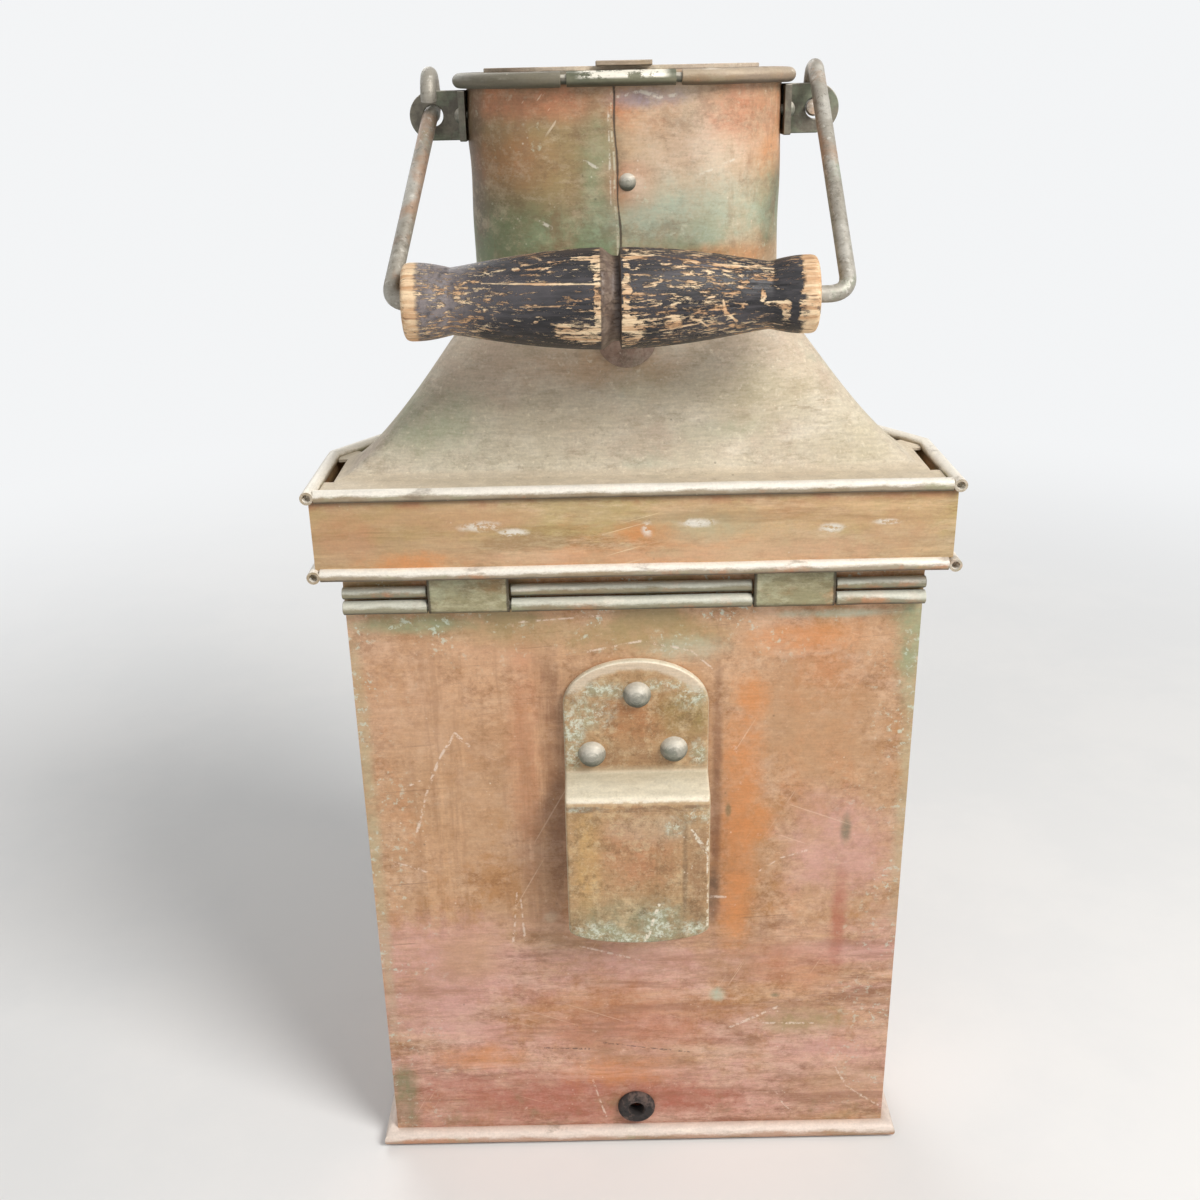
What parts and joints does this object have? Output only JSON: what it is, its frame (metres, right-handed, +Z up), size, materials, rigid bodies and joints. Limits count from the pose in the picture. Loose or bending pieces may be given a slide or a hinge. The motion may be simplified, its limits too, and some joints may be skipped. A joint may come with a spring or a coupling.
{
  "type": "railway carriage lamp",
  "caption": "Bay-fronted copper oil lamp with hinged lid, vented gallery, oblong capped chimney, wire bail with wooden grip and a rear lamp-iron socket.",
  "frame": {"origin": "centre of the base's underside", "axes": "+Z up; +Y out of the bull's-eye lens in the narrow front; -Y out of the flat back that carries the lamp-iron socket; +X to the right when facing the back"},
  "size_m": [0.1978, 0.1489, 0.3717],
  "materials": {
    "copper_sheet": "old copper, brown and orange patina with green and pink patches, matt",
    "gallery_copper": "old copper, olive and orange patina, brushed lengthwise",
    "bead_copper": "rolled copper, pale oxide on top, dark below",
    "dusty_copper": "copper under beige dust, matt",
    "socket_copper": "thick copper plate, brown with green edges",
    "dull_iron": "dull grey-green metal",
    "steel_wire": "oxidised steel wire",
    "lamp_brass": "tarnished brass",
    "silvered_dish": "silvered, tarnished",
    "red_glass": "clear ruby glass",
    "clear_glass": "clear glass",
    "black_rubber": "perished rubber",
    "cotton_wick": "flat woven cotton, charred tip",
    "ebonised_wood": "worn black paint over pale wood"
  },
  "bodies": {
    "case": {"case_shell": "copper_sheet", "base_plate": "copper_sheet", "base_bead": "bead_copper", "hinge_tube": "bead_copper", "hinge_pin": "steel_wire", "lamp_iron_socket": "socket_copper", "socket_rivets": "dull_iron", "cable_grommet": "black_rubber", "lens_ring": "lamp_brass", "bulls_eye_lens": "red_glass", "lens_clip": "steel_wire", "left_light_ring": "lamp_brass", "left_light_glass": "clear_glass", "right_light_ring": "lamp_brass", "right_light_glass": "clear_glass", "reflector": "silvered_dish", "reflector_stem": "copper_sheet", "font_guide": "copper_sheet"},
    "font": {"oil_font": "lamp_brass", "filler_neck": "lamp_brass", "burner_collar": "lamp_brass", "burner_drum": "lamp_brass", "burner_cone": "lamp_brass", "wick_tube": "lamp_brass"},
    "filler": {"filler_cap": "lamp_brass"},
    "wick": {"wick": "cotton_wick"},
    "winder": {"winder_spindle": "lamp_brass", "winder_knob": "lamp_brass"},
    "lid": {"lid_neck": "copper_sheet", "lid_flange_bead": "bead_copper", "hinge_strap_left": "bead_copper", "hinge_strap_right": "bead_copper", "gallery_band": "gallery_copper", "gallery_bottom_bead": "bead_copper", "gallery_top_bead": "bead_copper", "roof_plate": "dusty_copper", "roof_hood": "dusty_copper", "roof_disc": "copper_sheet", "heat_baffle": "copper_sheet", "lid_tab": "copper_sheet", "chimney_shell": "copper_sheet", "seam_rivet": "dull_iron", "rim_bead": "bead_copper", "rim_wire": "steel_wire", "left_lug": "dull_iron", "right_lug": "dull_iron", "lug_rivets": "dull_iron"},
    "cap": {"cap_knuckle": "bead_copper", "cap_plate": "copper_sheet", "cap_strap": "bead_copper"},
    "bail": {"bail_wire": "steel_wire"},
    "grip": {"handle_grip": "ebonised_wood"}
  },
  "joints": [
    {"name": "lid_hinge", "type": "hinge", "parent": "case", "child": "lid", "pos_m": [0, -0.05488, 0.2165], "axis": [1, 0, 0], "range_deg": [0, 130]},
    {"name": "cap_hinge", "type": "hinge", "parent": "lid", "child": "cap", "pos_m": [0, -0.0311, 0.3669], "axis": [1, 0, 0], "range_deg": [0, 105]},
    {"name": "bail_swing", "type": "hinge", "parent": "lid", "child": "bail", "pos_m": [0, 0.0025, 0.3629], "axis": [-1, 0, 0], "range_deg": [0, 205]},
    {"name": "grip_spin", "type": "hinge", "parent": "bail", "child": "grip", "pos_m": [0, -0.0585, 0.31006], "axis": [1, 0, 0], "continuous": true},
    {"name": "font_lift", "type": "slide", "parent": "case", "child": "font", "axis": [0, 0, 1], "range_m": [0, 0.02]},
    {"name": "filler_turn", "type": "hinge", "parent": "font", "child": "filler", "pos_m": [-0.022, 0.0025, 0.0445], "axis": [0, 0, 1], "continuous": true},
    {"name": "winder_turn", "type": "hinge", "parent": "font", "child": "winder", "pos_m": [0.03, 0.0085, 0.054], "axis": [-1, 0, 0], "range_deg": [0, 170]},
    {"name": "wick_lift", "type": "slide", "parent": "font", "child": "wick", "axis": [0, 0, 1], "range_m": [0, 0.012]}
  ],
  "couplings": [
    {"joint": "wick_lift", "follows": "winder_turn", "m_per_rad": 0.004}
  ]
}
